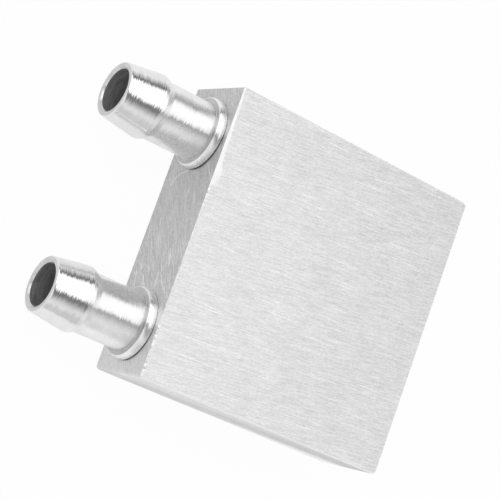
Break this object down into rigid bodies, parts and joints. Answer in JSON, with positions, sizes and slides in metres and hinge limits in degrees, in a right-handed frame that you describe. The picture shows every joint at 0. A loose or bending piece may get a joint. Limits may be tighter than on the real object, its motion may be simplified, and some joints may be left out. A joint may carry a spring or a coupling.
{
  "type": "liquid cooling cold plate",
  "caption": "Flat square aluminium cold plate with an inner finned U-shaped coolant passage, and hose barbs on one edge for inlet and outlet.",
  "frame": {"origin": "centre of the lower large face, the one that lies on the hot part", "axes": "+Z out of the opposite large face, -Y the way the hose barbs point, +X from the inlet barb to the outlet barb"},
  "size_m": [0.04, 0.0545, 0.012],
  "materials": {
    "brushed_aluminium": "hand-brushed satin, ground flush over the seams",
    "turned_aluminium": "turned and polished bright"
  },
  "bodies": {
    "root": {"profile_body": "brushed_aluminium", "port_plate": "brushed_aluminium", "rear_plate": "brushed_aluminium", "inlet_barb": "turned_aluminium", "outlet_barb": "turned_aluminium"}
  },
  "joints": []
}
